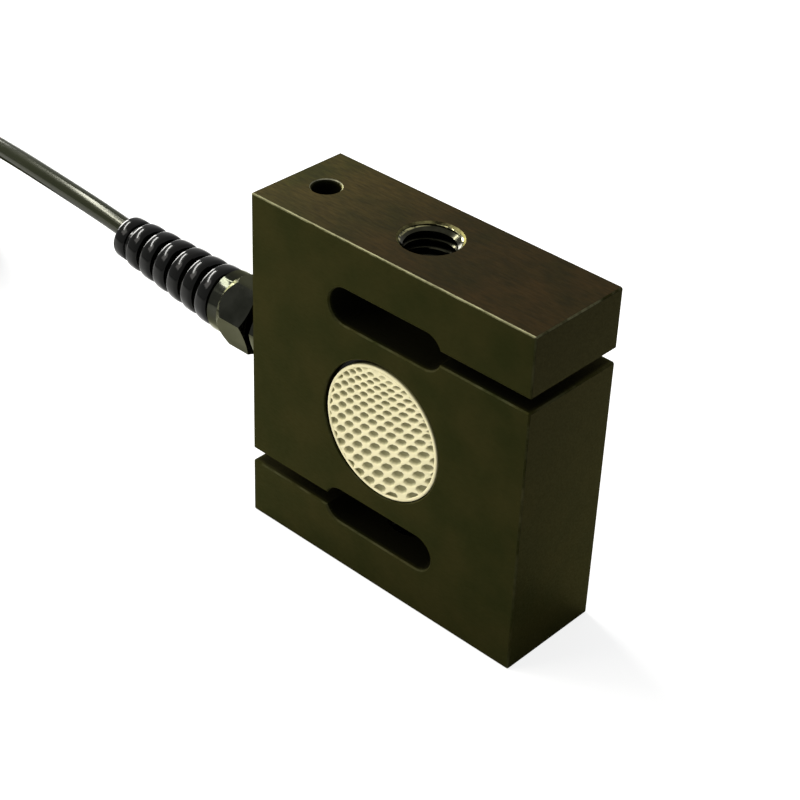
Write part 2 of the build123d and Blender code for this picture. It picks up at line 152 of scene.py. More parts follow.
def pick(piece):
    """Makes one object the only selected and the active one."""
    nothing_selected()
    piece.select_set(True)
    bpy.context.view_layer.objects.active = piece


def put(piece, place):
    """Moves a piece by a matrix and leaves its object at the origin, with the move in its mesh."""
    piece.matrix_world = place @ piece.matrix_world
    pick(piece)
    bpy.ops.object.transform_apply(location=True, rotation=True, scale=True)


nothing_selected()
bpy.ops.mesh.primitive_plane_add(size=6, location=(0, 0, -0.02 * mm))
floor = bpy.context.object
floor.name = "floor"
put(floor, Matrix.Identity(4))
floor_paint = bpy.data.materials.new("white_floor")
floor_paint.use_nodes = True
floor_shader = floor_paint.node_tree.nodes["Principled BSDF"]
floor_shader.inputs["Roughness"].default_value = 1.0
floor_shader.inputs["Specular IOR Level"].default_value = 0.0
floor_shader.inputs["Emission Color"].default_value = (1, 1, 1, 1)
floor_tree = floor_paint.node_tree
seen_floor = floor_tree.nodes.new("ShaderNodeLightPath").outputs["Is Camera Ray"]
floor_tone = add_mix(floor_tree, seen_floor, (0.93, 0.93, 0.93, 1), (0.38, 0.38, 0.38, 1))
floor_glow = add_math(floor_tree, "MULTIPLY", seen_floor, 0.8)
floor_tree.links.new(floor_tone, floor_shader.inputs["Base Color"])
floor_tree.links.new(floor_glow, floor_shader.inputs["Emission Strength"])
floor.data.materials.append(floor_paint)


# Spring element: a block of alloy steel, milled and sawn to an S and then blackened in a hot oxide bath. Its broken
# edges have rubbed bright in places, and the cutter's fine lines still run along its top. Its colour also holds
# painted light: a painted sheen on the top, a painted highlight along the upper long edges, painted shade on the
# end faces and inside the cuts.
def surface_group():
    """Shader group for a handled surface: two tones in blotches, with a fine stretched grain."""
    group = bpy.data.node_groups.new("handled_surface", "ShaderNodeTree")
    face = group.interface
    for name, kind, value in (("Colour", "NodeSocketColor", (0.5, 0.5, 0.5, 1)),
                              ("Second Colour", "NodeSocketColor", (0.4, 0.4, 0.4, 1)),
                              ("Blotch Scale", "NodeSocketFloat", 60.0),
                              ("Blotch Contrast", "NodeSocketFloat", 1.0),
                              ("Grain Stretch", "NodeSocketVector", (1.0, 1.0, 1.0)),
                              ("Grain Scale", "NodeSocketFloat", 2000.0),
                              ("Roughness", "NodeSocketFloat", 0.5),
                              ("Roughness Spread", "NodeSocketFloat", 0.15)):
        socket = face.new_socket(name=name, in_out="INPUT", socket_type=kind)
        socket.default_value = value
    face.new_socket(name="Colour", in_out="OUTPUT", socket_type="NodeSocketColor")
    face.new_socket(name="Roughness", in_out="OUTPUT", socket_type="NodeSocketFloat")
    face.new_socket(name="Height", in_out="OUTPUT", socket_type="NodeSocketFloat")
    nodes, links = group.nodes, group.links
    given = nodes.new("NodeGroupInput")
    result = nodes.new("NodeGroupOutput")
    place = nodes.new("ShaderNodeTexCoord")
    blotch = nodes.new("ShaderNodeTexNoise")
    blotch.inputs["Detail"].default_value = 5.0
    links.new(place.outputs["Object"], blotch.inputs["Vector"])
    links.new(given.outputs["Blotch Scale"], blotch.inputs["Scale"])
    centred = add_math(group, "SUBTRACT", blotch.outputs["Fac"], 0.5)
    stronger = add_math(group, "MULTIPLY", centred, given.outputs["Blotch Contrast"])
    lifted = add_math(group, "ADD", stronger, 0.5)
    lifted.node.use_clamp = True
    tones = add_mix(group, lifted, given.outputs["Colour"], given.outputs["Second Colour"])
    links.new(tones, result.inputs["Colour"])
    stretch = nodes.new("ShaderNodeVectorMath")
    stretch.operation = "MULTIPLY"
    links.new(place.outputs["Object"], stretch.inputs[0])
    links.new(given.outputs["Grain Stretch"], stretch.inputs[1])
    grain = nodes.new("ShaderNodeTexNoise")
    grain.inputs["Detail"].default_value = 3.0
    links.new(stretch.outputs[0], grain.inputs["Vector"])
    links.new(given.outputs["Grain Scale"], grain.inputs["Scale"])
    links.new(grain.outputs["Fac"], result.inputs["Height"])
    away = add_math(group, "SUBTRACT", grain.outputs["Fac"], 0.5)
    spread = add_math(group, "MULTIPLY_ADD", away, given.outputs["Roughness Spread"], given.outputs["Roughness"])
    links.new(spread, result.inputs["Roughness"])
    return group


def edge_group():
    """Shader group that finds the broken edges by their slanting normals and rubs them through in patches."""
    group = bpy.data.node_groups.new("rubbed_edges", "ShaderNodeTree")
    face = group.interface
    for name, value in (("Patch Scale", 90.0), ("Wear", 0.5)):
        socket = face.new_socket(name=name, in_out="INPUT", socket_type="NodeSocketFloat")
        socket.default_value = value
    face.new_socket(name="Mask", in_out="OUTPUT", socket_type="NodeSocketFloat")
    face.new_socket(name="Slant", in_out="OUTPUT", socket_type="NodeSocketFloat")
    nodes, links = group.nodes, group.links
    given = nodes.new("NodeGroupInput")
    result = nodes.new("NodeGroupOutput")
    place = nodes.new("ShaderNodeTexCoord")
    split = nodes.new("ShaderNodeSeparateXYZ")
    links.new(place.outputs["Normal"], split.inputs[0])
    slants = [add_math(group, "COMPARE", add_math(group, "ABSOLUTE", split.outputs[axis]), 0.707, 0.02)
              for axis in ("X", "Y", "Z")]
    slanting = add_math(group, "MAXIMUM", add_math(group, "MAXIMUM", slants[0], slants[1]), slants[2])
    patch = nodes.new("ShaderNodeTexNoise")
    patch.inputs["Detail"].default_value = 6.0
    patch.inputs["Roughness"].default_value = 0.7
    links.new(place.outputs["Object"], patch.inputs["Vector"])
    links.new(given.outputs["Patch Scale"], patch.inputs["Scale"])
    shifted = add_math(group, "ADD", patch.outputs["Fac"], given.outputs["Wear"])
    rubbed = add_math(group, "MULTIPLY", slanting, add_ramp(group, shifted, 0.92, 1.12))
    links.new(rubbed, result.inputs["Mask"])
    links.new(slanting, result.inputs["Slant"])
    return group


handled_surface = surface_group()
rubbed_edges = edge_group()


def new_finish(name, colour, second, roughness, spread=0.15, metallic=0.0, specular=0.5, blotches=60.0,
               contrast=1.5, stretch=(1, 1, 1), grain=1500.0, bump=0.1, bump_height=0.02):
    """Material on the handled surface group; returns it with its group node and its shader."""
    material = bpy.data.materials.new(name)
    material.use_nodes = True
    nodes, links = material.node_tree.nodes, material.node_tree.links
    shader = nodes["Principled BSDF"]
    shader.inputs["Metallic"].default_value = metallic
    shader.inputs["Specular IOR Level"].default_value = specular
    surface = nodes.new("ShaderNodeGroup")
    surface.node_tree = handled_surface
    surface.inputs["Colour"].default_value = (*colour, 1)
    surface.inputs["Second Colour"].default_value = (*second, 1)
    surface.inputs["Blotch Scale"].default_value = blotches
    surface.inputs["Blotch Contrast"].default_value = contrast
    surface.inputs["Grain Stretch"].default_value = stretch
    surface.inputs["Grain Scale"].default_value = grain
    surface.inputs["Roughness"].default_value = roughness
    surface.inputs["Roughness Spread"].default_value = spread
    bumps = nodes.new("ShaderNodeBump")
    bumps.inputs["Strength"].default_value = bump
    bumps.inputs["Distance"].default_value = bump_height * mm
    links.new(surface.outputs["Colour"], shader.inputs["Base Color"])
    links.new(surface.outputs["Roughness"], shader.inputs["Roughness"])
    links.new(surface.outputs["Height"], bumps.inputs["Height"])
    links.new(bumps.outputs["Normal"], shader.inputs["Normal"])
    return material, surface, shader


def dress(name, material):
    """Gives a CAD node its finish in every material slot."""
    node = nodes_of_part[name]
    for slot in node.material_slots:
        slot.material = material
    if not node.material_slots:
        node.data.materials.append(material)


blackened, blackened_surface, blackened_shader = new_finish(
    "blackened_steel", (0.0080, 0.0100, 0.0016), (0.0146, 0.0138, 0.0032), 0.5, spread=0.3, metallic=0.45,
    specular=0.05, blotches=90.0, contrast=4.0, stretch=(0.3, 1.0, 1.0), grain=2600.0, bump=0.3,
    bump_height=0.01)
blackened_shader.inputs["Specular Tint"].default_value = (1.0, 0.92, 0.4, 1)
steel_nodes = blackened.node_tree.nodes
steel_links = blackened.node_tree.links
steel_math = partial(add_math, blackened.node_tree)
steel_ramp = partial(add_ramp, blackened.node_tree)
steel_mix = partial(add_mix, blackened.node_tree)
steel_place = steel_nodes.new("ShaderNodeTexCoord")
steel_spot = steel_nodes.new("ShaderNodeSeparateXYZ")
steel_links.new(steel_place.outputs["Object"], steel_spot.inputs[0])
steel_way = steel_nodes.new("ShaderNodeSeparateXYZ")
steel_links.new(steel_place.outputs["Normal"], steel_way.inputs[0])
from_side = steel_math("SUBTRACT", half_width * mm, steel_math("ABSOLUTE", steel_spot.outputs["X"]))
from_front = steel_math("SUBTRACT", half_depth * mm, steel_math("ABSOLUTE", steel_spot.outputs["Y"]))
from_end = steel_math("SUBTRACT", half_height * mm, steel_math("ABSOLUTE", steel_math(
    "SUBTRACT", steel_spot.outputs["Z"], half_height * mm)))
depth_in_block = steel_math("MINIMUM", steel_math("MINIMUM", from_side, from_front), from_end)
in_the_cuts = steel_ramp(depth_in_block, 0.25 * mm, 1.1 * mm)
on_top = steel_math("MULTIPLY", steel_math("GREATER_THAN", steel_way.outputs["Z"], 0.9),
                    steel_math("LESS_THAN", from_end, 0.1 * mm))
brushing = steel_nodes.new("ShaderNodeTexNoise")
brushing.inputs["Scale"].default_value = 1900.0
brushing.inputs["Detail"].default_value = 4.0
brush_lines = steel_nodes.new("ShaderNodeVectorMath")
brush_lines.operation = "MULTIPLY"
brush_lines.inputs[1].default_value = (0.2, 1.0, 1.0)
steel_links.new(steel_place.outputs["Object"], brush_lines.inputs[0])
steel_links.new(brush_lines.outputs[0], brushing.inputs["Vector"])
brushed = steel_ramp(brushing.outputs["Fac"], 0.3, 0.7)
# Painted sheen on the top face: lighter and browner than the front, and lighter and greener again towards the gland
# end. The brush lines in it are real grain.
brown_top = steel_mix(brushed, (0.68, 0.41, 0.31, 1), (1.5, 0.84, 0.80, 1))
sheen_lit_top = steel_mix(brushed, (1.25, 0.98, 0.80, 1), (3.0, 2.3, 2.3, 1))
sheen_to_gland_end = steel_ramp(steel_spot.outputs["X"], 0.0, -34.0 * mm)
top_grain_and_sheen = steel_mix(sheen_to_gland_end, brown_top, sheen_lit_top)
# Painted shade on the left and right end faces: darker than the front, darkest near the top.
on_side = steel_math("LESS_THAN", from_side, 0.05 * mm)
low_down = steel_ramp(steel_spot.outputs["Z"], 72.0 * mm, 10.0 * mm)
end_face_shade = steel_mix(low_down, (0.03, 0.03, 0.01, 1), (0.66, 0.66, 0.38, 1))
face_or_side = steel_mix(on_side, (1.0, 1.0, 1.0, 1), end_face_shade)
plain_or_top = steel_mix(on_top, face_or_side, top_grain_and_sheen)
all_over = steel_mix(1.0, blackened_surface.outputs["Colour"], plain_or_top, blend="MULTIPLY")
rubbing = steel_nodes.new("ShaderNodeGroup")
rubbing.node_tree = rubbed_edges
rubbing.inputs["Patch Scale"].default_value = 160.0
rubbing.inputs["Wear"].default_value = 0.52
on_rim = steel_math("LESS_THAN", from_end, 0.32 * mm)
patchy_wear = steel_math("MULTIPLY", rubbing.outputs["Mask"], steel_math("MULTIPLY_ADD", on_rim, 0.22, 0.06))
# Painted highlight: an even bright line along the upper front and back edges, added to the real rubbed patches on
# the broken edges.
long_edge = steel_math("LESS_THAN", steel_math("MAXIMUM", from_front, from_end), 0.3 * mm)
upper_edge = steel_math("MULTIPLY", long_edge, steel_math("GREATER_THAN", steel_spot.outputs["Z"], 70.0 * mm))
edge_line = steel_math("MULTIPLY", upper_edge, steel_math("LESS_THAN", from_end, 0.16 * mm))
edge_highlight = steel_math("MULTIPLY", edge_line, steel_math("MULTIPLY_ADD", brushed, 0.4, 0.35))
rim_wear_and_highlight = steel_math("MAXIMUM", patchy_wear, edge_highlight)
worn_and_highlit_steel = steel_mix(rim_wear_and_highlight, all_over, (0.30, 0.29, 0.17, 1))
inside_faces = steel_math("GREATER_THAN", steel_math("MINIMUM", from_front, from_side), 0.5 * mm)
hole_rim = steel_math("MULTIPLY", steel_math("MULTIPLY", rubbing.outputs["Slant"], inside_faces),
                      steel_math("LESS_THAN", from_end, 0.45 * mm))
at_thread = steel_math("LESS_THAN", steel_math("ABSOLUTE", steel_spot.outputs["X"]), 9.0 * mm)
rough_cut = steel_mix(rubbing.outputs["Mask"], (0.016, 0.014, 0.006, 1), (0.17, 0.155, 0.065, 1))
bright_lip = steel_math("MULTIPLY", steel_math("LESS_THAN", from_end, 0.17 * mm), steel_math(
    "MULTIPLY_ADD", rubbing.outputs["Mask"], 0.4, 0.15))
plain_rim = steel_mix(bright_lip, (0.006, 0.006, 0.004, 1), (0.45, 0.44, 0.30, 1))
rim_colour = steel_mix(at_thread, plain_rim, rough_cut)
rimmed_steel = steel_mix(hole_rim, worn_and_highlit_steel, rim_colour)
# Painted shade: faces more than about a millimetre inside the block, in the slots, holes and pockets, are coloured
# near black.
steel_colour = steel_mix(in_the_cuts, rimmed_steel, (0.0022, 0.0022, 0.0010, 1))
steel_links.new(steel_colour, blackened_shader.inputs["Base Color"])
steel_links.new(steel_math("MULTIPLY_ADD", on_top, -0.3, 0.45), blackened_shader.inputs["Metallic"])
steel_roughness = steel_math("MULTIPLY_ADD", in_the_cuts, 0.35, blackened_surface.outputs["Roughness"])
steel_links.new(steel_roughness, blackened_shader.inputs["Roughness"])
dress("spring_element", blackened)


# Threads: the M12 threads tapped through the two ends of the spring element, for the rod ends or studs. The solid
# has them as plain holes; here their ridges stand in from the wall, oily, and lighter in patches at the mouth.
def thread_ridge(name, base, tip, pitch, start, end, inward):
    """Closed helical ridge round Z from one height to another, its foot on a radius and its tip on another."""
    turns = math.ceil((end - start) / pitch)
    nothing_selected()
    bpy.ops.mesh.primitive_circle_add(vertices=4, radius=1, fill_type="NGON")
    piece = bpy.context.object
    piece.name = name
    side = 1 if inward else -1
    section = [(base + side * 0.12, start - 0.44 * pitch), (tip, start - 0.07 * pitch),
               (tip, start + 0.07 * pitch), (base + side * 0.12, start + 0.44 * pitch)]
    for vertex, (radius, height) in zip(piece.data.vertices, section):
        vertex.co = (radius * mm, 0, height * mm)
    screw = piece.modifiers.new("thread", "SCREW")
    screw.axis = "Z"
    screw.screw_offset = pitch * mm
    screw.iterations = turns
    screw.steps = 72
    screw.render_steps = 72
    screw.use_merge_vertices = False
    pick(piece)
    bpy.ops.object.modifier_apply(modifier="thread")
    bpy.ops.object.mode_set(mode="EDIT")
    bpy.ops.mesh.select_all(action="DESELECT")
    bpy.ops.mesh.select_mode(type="EDGE")
    bpy.ops.mesh.select_non_manifold()
    bpy.ops.mesh.edge_face_add()
    bpy.ops.mesh.select_all(action="SELECT")
    bpy.ops.mesh.normals_make_consistent(inside=False)
    bpy.ops.object.mode_set(mode="OBJECT")
    return piece


near_axis = 0.001


def turned_ring(name, section, around=96):
    """Ring spun about Z from a closed section of (radius, height) points in millimetres."""
    nothing_selected()
    bpy.ops.mesh.primitive_circle_add(vertices=len(section), radius=1)
    piece = bpy.context.object
    piece.name = name
    for vertex, (radius, height) in zip(piece.data.vertices, section):
        vertex.co = (radius * mm, 0, height * mm)
    bpy.ops.object.mode_set(mode="EDIT")
    bpy.ops.mesh.select_all(action="SELECT")
    bpy.ops.mesh.spin(steps=around, angle=2 * math.pi, center=(0, 0, 0), axis=(0, 0, 1))
    bpy.ops.mesh.select_all(action="SELECT")
    bpy.ops.mesh.remove_doubles(threshold=1e-6)
    bpy.ops.mesh.normals_make_consistent(inside=False)
    bpy.ops.object.mode_set(mode="OBJECT")
    return piece


def cut_with(piece, tool, operation, solver="EXACT"):
    """Boolean of a piece with a tool, which is then removed."""
    change = piece.modifiers.new("cut", "BOOLEAN")
    change.operation = operation
    change.solver = solver
    change.object = tool
    pick(piece)
    bpy.ops.object.modifier_apply(modifier="cut")
    bpy.data.objects.remove(tool)


def paint(piece, material):
    """Gives a new piece one finish all over."""
    piece.data.materials.clear()
    piece.data.materials.append(material)


def smooth(piece, angle=35):
    """Smooth shading, kept sharp where faces meet at more than an angle."""
    pick(piece)
    bpy.ops.object.shade_smooth_by_angle(angle=math.radians(angle))


thread_finish, thread_surface, thread_shader = new_finish(
    "oiled_thread", (0.016, 0.016, 0.010), (0.032, 0.031, 0.020), 0.16, spread=0.1, metallic=1.0, specular=0.5,
    blotches=500.0, contrast=3.0, grain=3000.0, bump=0.12, bump_height=0.01)
thread_tree = thread_finish.node_tree
thread_place = thread_tree.nodes.new("ShaderNodeTexCoord")
thread_split = thread_tree.nodes.new("ShaderNodeSeparateXYZ")
torn = thread_tree.nodes.new("ShaderNodeTexNoise")
torn.inputs["Scale"].default_value = 700.0
torn.inputs["Detail"].default_value = 3.0
thread_tree.links.new(thread_place.outputs["Object"], thread_split.inputs[0])
thread_tree.links.new(thread_place.outputs["Object"], torn.inputs["Vector"])
from_middle = add_math(thread_tree, "ABSOLUTE", add_math(
    thread_tree, "SUBTRACT", thread_split.outputs["Z"], half_height * mm))
at_mouth = add_ramp(thread_tree, from_middle, 36.62 * mm, 36.75 * mm)
torn_here = add_math(thread_tree, "MULTIPLY", add_ramp(thread_tree, torn.outputs["Fac"], 0.44, 0.56), at_mouth)
mouth_tone = add_mix(thread_tree, torn_here, thread_surface.outputs["Colour"], (0.36, 0.34, 0.17, 1))
thread_tree.links.new(mouth_tone, thread_shader.inputs["Base Color"])
thread_radius = 6.0
thread_tip = 5.08
thread_pitch = 1.75
for name, side in (("top_thread_ridges", 1), ("bottom_thread_ridges", -1)):
    ridge = thread_ridge(name, thread_radius, thread_tip, thread_pitch, 26.6, 38.6, inward=True)
    mouth = turned_ring("mouth", [(near_axis, 27.2), (7.0, 27.2), (7.0, 36.6), (6.42, 37.48), (5.2, 36.25),
                                  (4.9, 36.2), (near_axis, 36.2)])
    cut_with(ridge, mouth, "INTERSECT")
    turn = Matrix.Identity(4) if side > 0 else Matrix.Rotation(math.pi, 4, "X")
    put(ridge, Matrix.Translation(block_centre) @ turn)
    smooth(ridge, 40)
    paint(ridge, thread_finish)
    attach(ridge, "root")


# Covers: stamped discs that close the gauge pockets, painted cream. Slanting rows of diamond pits that grow
# towards the lower right are pressed into the face, inside a plain rounded rim.
first_pit = Vector((-1.88, -1.14))
along_row = Vector((2.40, -0.43))
up_column = Vector((2.00, 2.21))
row_growth = Vector((0.157, 0.121))
cross_growth = Vector((0.010, 0.094))
column_growth = Vector((-0.074, -0.084))
cover_radius = 14.3
rim_radius = 13.6
field_radius = 13.62
kept_radius = 15.4
cover_back = 9.95
cover_face = 11.7
cover_drop = 0.46
pit_rows = 15
pit_columns = 17
ridge_width = 0.06
pit_steps = ((None, 0.0, 0.0), (0.95, 0.25, 0.03), (0.54, 0.66, 0.17))
plain_from = 13.4


def pressed_cover(name):
    """Pitted disc with its back on z = 0, and its rim, as one piece."""
    thickness = cover_face - cover_back
    nothing_selected()
    bpy.ops.mesh.primitive_grid_add(x_subdivisions=pit_rows, y_subdivisions=pit_columns, size=1)
    field = bpy.context.object
    for vertex in field.data.vertices:
        row = vertex.co.x * pit_rows
        column = vertex.co.y * pit_columns
        spot = (first_pit + row * along_row + column * up_column + row * row / 2 * row_growth
                + row * column * cross_growth + column * column / 2 * column_growth)
        vertex.co = (spot.x * mm, spot.y * mm, thickness * mm)
    bpy.ops.object.mode_set(mode="EDIT")
    bpy.ops.mesh.select_mode(type="FACE")
    bpy.ops.mesh.select_all(action="DESELECT")
    bpy.ops.object.mode_set(mode="OBJECT")
    for face in field.data.polygons:
        face.select = face.center.xy.length > kept_radius * mm
    bpy.ops.object.mode_set(mode="EDIT")
    bpy.ops.mesh.delete(type="FACE")
    bpy.ops.mesh.select_all(action="SELECT")
    for share, sink, shift in pit_steps:
        bpy.ops.mesh.inset(thickness=0.01 * mm, use_individual=True)
        bpy.ops.object.mode_set(mode="OBJECT")
        for face in field.data.polygons:
            if not face.select:
                continue
            middle_of_pit = face.center.copy()
            pit_width = math.sqrt(face.area)
            drawn_in = 1 - ridge_width * mm / pit_width if share is None else share
            fade = min(1, max(0, (plain_from - middle_of_pit.y / mm) / 1.6))
            for corner in face.vertices:
                spot = field.data.vertices[corner].co
                spot.xy = middle_of_pit.xy + (spot.xy - middle_of_pit.xy) * drawn_in
                spot.x -= 0.4 * shift * pit_width
                spot.y += shift * pit_width
                spot.z = (thickness - sink * fade) * mm
        bpy.ops.object.mode_set(mode="EDIT")
    bpy.ops.mesh.select_all(action="DESELECT")
    bpy.ops.mesh.select_mode(type="EDGE")
    bpy.ops.mesh.select_non_manifold()
    bpy.ops.mesh.extrude_edges_move(TRANSFORM_OT_translate={"value": (0, 0, -thickness * mm)})
    bpy.ops.mesh.edge_face_add()
    bpy.ops.mesh.select_all(action="SELECT")
    bpy.ops.mesh.normals_make_consistent(inside=False)
    bpy.ops.object.mode_set(mode="OBJECT")
    rounding = field.modifiers.new("rounding", "SUBSURF")
    rounding.levels = 1
    rounding.render_levels = 1
    pick(field)
    bpy.ops.object.modifier_apply(modifier="rounding")
    nothing_selected()
    bpy.ops.mesh.primitive_cylinder_add(vertices=160, radius=field_radius * mm, depth=20 * mm)
    cut_with(field, bpy.context.object, "INTERSECT", solver="MANIFOLD")
    rim = turned_ring("rim", [(rim_radius, 0.0), (14.1, 0.0), (cover_radius, 0.2),
                              (cover_radius, thickness - 0.28), (14.26, thickness - 0.14),
                              (14.16, thickness - 0.04), (14.02, thickness), (13.8, thickness),
                              (13.68, thickness - 0.03), (rim_radius, thickness - 0.1)], around=160)
    nothing_selected()
    rim.select_set(True)
    field.select_set(True)
    bpy.context.view_layer.objects.active = field
    bpy.ops.object.join()
    field.name = name
    return field


cream, cream_surface, cream_shader = new_finish(
    "cream_paint", (0.88, 0.80, 0.50), (0.76, 0.70, 0.42), 0.5, spread=0.2, specular=0.3, blotches=220.0,
    contrast=1.6, grain=2500.0, bump=0.15, bump_height=0.02)
cream_tree = cream.node_tree
cream_place = cream_tree.nodes.new("ShaderNodeTexCoord")
cream_split = cream_tree.nodes.new("ShaderNodeSeparateXYZ")
cream_tree.links.new(cream_place.outputs["Object"], cream_split.inputs[0])
# Painted shade: the pits darken to olive with their depth.
in_pit = add_ramp(cream_tree, add_math(cream_tree, "ABSOLUTE", cream_split.outputs["Y"]),
                  (cover_face - 0.05) * mm, (cover_face - 0.44) * mm)
pit_shade = add_mix(cream_tree, in_pit, cream_surface.outputs["Colour"], (0.22, 0.205, 0.09, 1))
cream_tree.links.new(pit_shade, cream_shader.inputs["Base Color"])
for name, half_turn in (("front_cover", 0), ("rear_cover", math.pi)):
    cover = pressed_cover(name + "_pressing")
    put(cover, Matrix.Translation(block_centre) @ Matrix.Rotation(half_turn, 4, "Z")
        @ Matrix.Rotation(math.pi / 2, 4, "X") @ Matrix.Translation((0, -cover_drop * mm, cover_back * mm)))
    smooth(cover, 50)
    paint(cover, cream)
    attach(cover, "root")
    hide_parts(name)


# Inside the pockets: foil gauges on the web, a solder board, two trim resistors, their wires and the resin that
# fills the rest. None of it shows once the covers are on.
hidden_finishes = {
    "gauge_foil": ((0.55, 0.33, 0.14), (0.45, 0.26, 0.10), 0.35, 0.6,
                   ["front_shear_gauge", "rear_shear_gauge"]),
    "board_green": ((0.03, 0.16, 0.06), (0.02, 0.11, 0.04), 0.4, 0.0, ["terminal_board"]),
    "resistor_blue": ((0.10, 0.22, 0.42), (0.08, 0.18, 0.36), 0.4, 0.0, ["span_resistor", "zero_resistor"]),
    "fine_copper": ((0.72, 0.36, 0.20), (0.60, 0.28, 0.14), 0.3, 0.9,
                    ["front_gauge_lead_low", "front_gauge_lead_middle", "front_gauge_lead_high",
                     "rear_gauge_lead_low", "rear_gauge_lead_middle", "rear_gauge_lead_high"]),
    "potting_resin": ((0.006, 0.006, 0.004), (0.004, 0.004, 0.003), 0.6, 0.0, ["front_potting", "rear_potting"]),
}
for name, (colour, second, roughness, metallic, pieces) in hidden_finishes.items():
    finish, _, _ = new_finish(name, colour, second, roughness, metallic=metallic, specular=0.3, blotches=300.0)
    for piece in pieces:
        dress(piece, finish)


# Cable gland: turned from hexagon brass bar and nickel plated. The flange screws into the block's left face on
# a rubber washer, and the nut squeezes the seal on to the cable and holds the bend relief by its root.
left_face = -half_width
flange_end = 6.0
neck_end = 13.0
nut_start = 8.0
nut_hex_end = 16.4
nose_end = 19.5
nose_radius = 6.85
half_flats = 7.0
hexagon_corner = half_flats / math.cos(math.radians(30))
gland_turn = 41
on_gland = Matrix.Translation((left_face * mm, 0, half_height * mm)) @ Matrix.Rotation(math.radians(-90), 4, "Y")


def hexagon(name, start, end, low_radius, low_bevel, high_radius, high_bevel):
    """Hexagon bar between two distances from the block, its corners turned down to a cone at each end."""
    nothing_selected()
    bpy.ops.mesh.primitive_cylinder_add(vertices=6, radius=hexagon_corner * mm, depth=(end - start) * mm,
                                        location=(0, 0, (start + end) / 2 * mm),
                                        rotation=(0, 0, math.radians(gland_turn - 90)))
    bar = bpy.context.object
    bar.name = name
    put(bar, Matrix.Identity(4))
    wide = hexagon_corner + 0.01
    cones = turned_ring("cones", [(near_axis, start), (low_radius, start), (wide, start + low_bevel),
                                  (wide, end - high_bevel), (high_radius, end), (near_axis, end)], around=144)
    cut_with(bar, cones, "INTERSECT")
    return bar


def soften(piece, width, segments=2, angle=25):
    """Rounds every edge sharper than an angle by a little, as plating and tumbling do."""
    bevel = piece.modifiers.new("soft_edges", "BEVEL")
    bevel.width = width * mm
    bevel.segments = segments
    bevel.limit_method = "ANGLE"
    bevel.angle_limit = math.radians(angle)
    pick(piece)
    bpy.ops.object.modifier_apply(modifier="soft_edges")


nickel, _, nickel_shader = new_finish(
    "gland_nickel", (0.028, 0.029, 0.023), (0.015, 0.016, 0.012), 0.13, spread=0.1, metallic=1.0, specular=0.5,
    blotches=170.0, contrast=4.0, grain=2500.0, bump=0.12, bump_height=0.01)
nickel_shader.inputs["Specular Tint"].default_value = (0.74, 0.74, 0.62, 1)

gland = hexagon("gland_flange_and_neck", 1.0, flange_end, half_flats, 0.6, half_flats, 0.6)
neck = turned_ring("neck", [(near_axis, -7.5), (4.55, -7.5), (4.95, -7.1), (4.95, 2.0), (6.0, 2.0), (6.0, 12.6),
                            (5.6, neck_end), (near_axis, neck_end)])
cut_with(gland, neck, "UNION")
bore = turned_ring("bore", [(near_axis, -8.5), (3.0, -8.5), (3.0, 7.0), (4.6, 7.0), (4.6, 14.0), (near_axis, 14.0)])
cut_with(gland, bore, "DIFFERENCE")
soften(gland, 0.12)
put(gland, on_gland)
smooth(gland, 30)
paint(gland, nickel)
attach(gland, "root")
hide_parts("gland_body")

nut = hexagon("gland_nut_turned", nut_start, nut_hex_end, half_flats, 0.6, nose_radius, 2.2)
nose = turned_ring("nose", [(near_axis, 15.0), (nose_radius, 15.0), (nose_radius, 19.15), (6.5, nose_end),
                            (near_axis, nose_end)], around=144)
cut_with(nut, nose, "UNION")
bore = turned_ring("bore", [(near_axis, 7.0), (6.56, 7.0), (6.56, 8.0), (6.06, 8.5), (6.06, 16.2), (5.0, 16.2),
                            (5.0, 20.5), (near_axis, 20.5)], around=144)
cut_with(nut, bore, "DIFFERENCE")
soften(nut, 0.3, segments=3)
put(nut, on_gland)
smooth(nut, 30)
paint(nut, nickel)
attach(nut, "root")
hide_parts("gland_nut")

washer_rubber, _, _ = new_finish("washer_rubber", (0.012, 0.012, 0.010), (0.02, 0.02, 0.016), 0.6,
                                 specular=0.2, blotches=400.0)
claw_nylon, _, _ = new_finish("claw_nylon", (0.03, 0.03, 0.028), (0.04, 0.04, 0.036), 0.5, specular=0.3)
dress("gland_washer", washer_rubber)
dress("gland_seal", washer_rubber)
dress("gland_claw", claw_nylon)


# Bend relief: a ribbed sleeve of black rubber, held by its root in the nut, that stiffens the cable where it
# leaves. Its six rounded ribs grow smaller outwards, and it ends in a plain collar.
relief_tilt = math.radians(3.5)
relief_pivot = nose_end + 1.5
rib_count = 6
rib_start = nose_end + 0.8
rib_pitch = 4.68
groove = 1.0
first_rib = 13.3 / 2
last_rib = 10.6 / 2
rib_depth = 1.15
collar_length = 3.5
collar_end = rib_start + rib_count * rib_pitch + collar_length
relief_outline = [(5.5, nose_end + 0.02)]
for rib in range(rib_count):
    top = first_rib + (last_rib - first_rib) * rib / (rib_count - 1)
    foot = top - rib_depth
    middle_of_rib = rib_start + rib * rib_pitch + (rib_pitch - groove) / 2
    half = (rib_pitch - groove) / 2
    relief_outline.append((foot, middle_of_rib - half - 0.1))
    for step in range(13):
        angle = math.pi * step / 12
        across = math.copysign(abs(math.cos(angle)) ** 0.62, -math.cos(angle))
        relief_outline.append((foot + rib_depth * math.sin(angle) ** 0.75, middle_of_rib + half * across))
    relief_outline.append((foot, middle_of_rib + half + 0.1))
